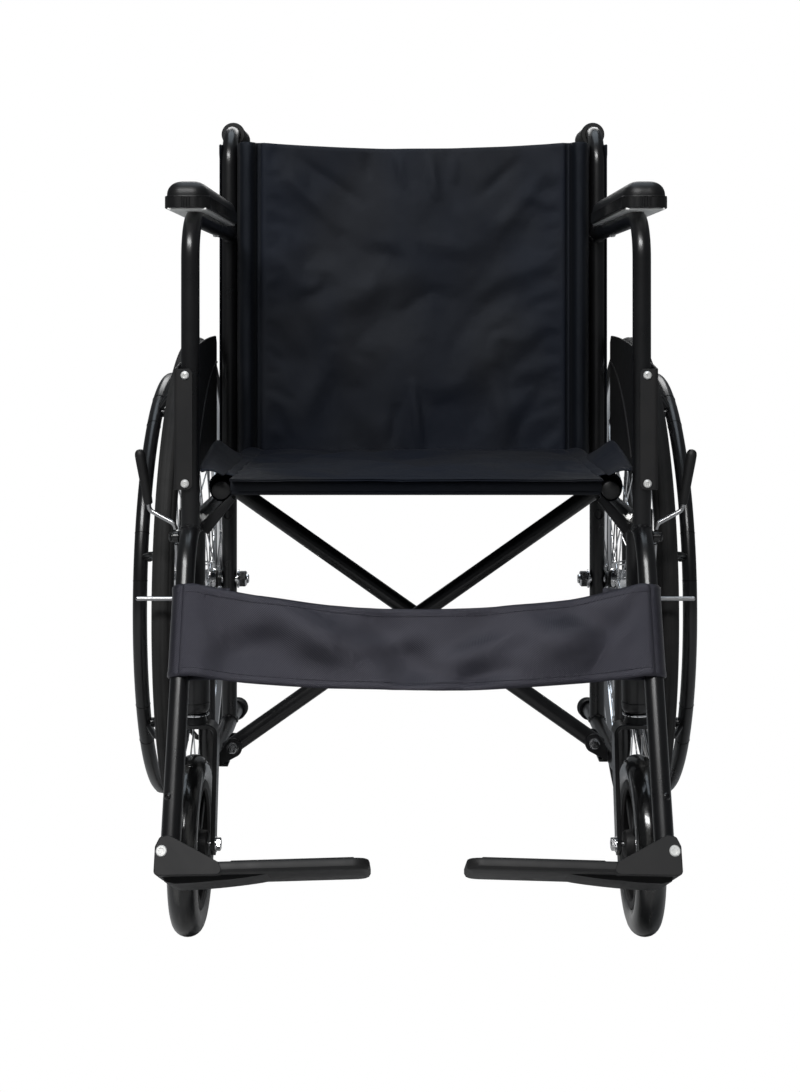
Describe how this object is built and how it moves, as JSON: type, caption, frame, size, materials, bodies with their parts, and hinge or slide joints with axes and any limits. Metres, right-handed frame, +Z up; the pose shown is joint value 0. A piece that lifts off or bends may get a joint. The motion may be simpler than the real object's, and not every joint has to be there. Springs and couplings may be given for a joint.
{
  "type": "manual wheelchair",
  "caption": "Folding manual wheelchair: tubular side frames, crossed bars, sling seat and back, fixed armrests, spoked rear wheels with hand rims, front casters and footplates.",
  "frame": {"origin": "on the floor, at the centre of the object's length and width", "axes": "+Z up, -Y towards the front (footplates), +X to the sitter's left"},
  "size_m": [0.626, 0.9018, 0.8865],
  "materials": {
    "black_steel": "satin black powder coat",
    "chrome": "bright chrome plate",
    "grip_rubber": "matt black ribbed rubber",
    "tyre_rubber": "matt grey-black rubber",
    "caster_pvc": "glossy black PVC",
    "charcoal_plastic": "fine-grained charcoal moulding",
    "pad_foam": "semi-gloss black skin over foam",
    "nylon": "blue-black woven nylon",
    "strap_weave": "charcoal woven strap"
  },
  "bodies": {
    "frame_R": {"back_post_R": "black_steel", "push_grip_R": "grip_rubber", "armrest_tube_R": "black_steel", "armrest_pad_R": "pad_foam", "seat_leg_tube_R": "black_steel", "front_post_R": "black_steel", "caster_barrel_R": "black_steel", "lower_rail_R": "black_steel", "tipping_tip_R": "grip_rubber", "seat_bracket_R": "black_steel", "side_panel_R": "charcoal_plastic", "brake_clamp_R": "black_steel", "bar_bracket_R": "black_steel", "bar_bolt_R": "chrome", "rear_axle_R": "chrome", "back_sleeve_R": "nylon", "back_panel": "nylon", "calf_strap": "strap_weave"},
    "bar_R": {"cross_bar_R": "black_steel", "seat_rail_L": "black_steel", "centre_bolt": "chrome", "seat_sling": "nylon"},
    "bar_L": {"cross_bar_L": "black_steel", "seat_rail_R": "black_steel"},
    "frame_L": {"back_post_L": "black_steel", "push_grip_L": "grip_rubber", "armrest_tube_L": "black_steel", "armrest_pad_L": "pad_foam", "seat_leg_tube_L": "black_steel", "front_post_L": "black_steel", "caster_barrel_L": "black_steel", "lower_rail_L": "black_steel", "tipping_tip_L": "grip_rubber", "seat_bracket_L": "black_steel", "side_panel_L": "charcoal_plastic", "brake_clamp_L": "black_steel", "bar_bracket_L": "black_steel", "bar_bolt_L": "chrome", "rear_axle_L": "chrome", "back_sleeve_L": "nylon"},
    "rear_wheel_body_R": {"rear_tyre_R": "tyre_rubber", "rear_wheel_R": "chrome", "hand_rim_R": "black_steel"},
    "caster_swivel_R": {"caster_fork_R": "black_steel", "caster_axle_R": "chrome"},
    "caster_wheel_R": {"caster_tyre_R": "caster_pvc", "caster_hub_R": "charcoal_plastic"},
    "brake_R": {"brake_lever_R": "chrome", "brake_grip_R": "grip_rubber"},
    "plate_R": {"footplate_R": "charcoal_plastic"},
    "rear_wheel_body_L": {"rear_tyre_L": "tyre_rubber", "rear_wheel_L": "chrome", "hand_rim_L": "black_steel"},
    "caster_swivel_L": {"caster_fork_L": "black_steel", "caster_axle_L": "chrome"},
    "caster_wheel_L": {"caster_tyre_L": "caster_pvc", "caster_hub_L": "charcoal_plastic"},
    "brake_L": {"brake_lever_L": "chrome", "brake_grip_L": "grip_rubber"},
    "plate_L": {"footplate_L": "charcoal_plastic"}
  },
  "joints": [
    {"name": "fold", "type": "hinge", "parent": "frame_R", "child": "bar_R", "pos_m": [-0.208, -0.0284, 0.143], "axis": [0, -1, 0], "range_deg": [0, 46], "deforming": ["seat_sling", "back_panel", "calf_strap"]},
    {"name": "scissor", "type": "hinge", "parent": "bar_R", "child": "bar_L", "pos_m": [0, -0.0284, 0.28973], "axis": [0, -1, 0], "range_deg": [-92, 0]},
    {"name": "frame_L_pivot", "type": "hinge", "parent": "bar_L", "child": "frame_L", "pos_m": [0.208, -0.0284, 0.143], "axis": [0, -1, 0], "range_deg": [0, 46]},
    {"name": "rear_wheel_spin_R", "type": "hinge", "parent": "frame_R", "child": "rear_wheel_body_R", "pos_m": [-0.274, 0.1466, 0.305], "axis": [1, 0, 0], "continuous": true},
    {"name": "caster_swivel_turn_R", "type": "hinge", "parent": "frame_R", "child": "caster_swivel_R", "pos_m": [-0.232, -0.2004, 0.2092], "axis": [0, 0, 1], "continuous": true},
    {"name": "caster_wheel_spin_R", "type": "hinge", "parent": "caster_swivel_R", "child": "caster_wheel_R", "pos_m": [-0.232, -0.2284, 0.09], "axis": [1, 0, 0], "continuous": true},
    {"name": "brake_lock_R", "type": "hinge", "parent": "frame_R", "child": "brake_R", "pos_m": [-0.2508, -0.2084, 0.405], "axis": [1, 0, 0], "range_deg": [0, 16]},
    {"name": "footplate_flip_R", "type": "hinge", "parent": "frame_R", "child": "plate_R", "pos_m": [-0.232, -0.3884, 0.128], "axis": [0, -0.9125, 0.4091], "range_deg": [0, 90]},
    {"name": "rear_wheel_spin_L", "type": "hinge", "parent": "frame_L", "child": "rear_wheel_body_L", "pos_m": [0.274, 0.1466, 0.305], "axis": [1, 0, 0], "continuous": true},
    {"name": "caster_swivel_turn_L", "type": "hinge", "parent": "frame_L", "child": "caster_swivel_L", "pos_m": [0.232, -0.2004, 0.2092], "axis": [0, 0, 1], "continuous": true},
    {"name": "caster_wheel_spin_L", "type": "hinge", "parent": "caster_swivel_L", "child": "caster_wheel_L", "pos_m": [0.232, -0.2284, 0.09], "axis": [1, 0, 0], "continuous": true},
    {"name": "brake_lock_L", "type": "hinge", "parent": "frame_L", "child": "brake_L", "pos_m": [0.2508, -0.2084, 0.405], "axis": [1, 0, 0], "range_deg": [0, 16]},
    {"name": "footplate_flip_L", "type": "hinge", "parent": "frame_L", "child": "plate_L", "pos_m": [0.232, -0.3884, 0.128], "axis": [0, 0.9125, -0.4091], "range_deg": [0, 90]}
  ],
  "couplings": [
    {"joint": "scissor", "follows": "fold", "ratio": -2},
    {"joint": "frame_L_pivot", "follows": "fold", "ratio": 1},
    {"joint": "footplate_flip_R", "follows": "fold", "ratio": 1.9565},
    {"joint": "footplate_flip_L", "follows": "fold", "ratio": 1.9565}
  ]
}
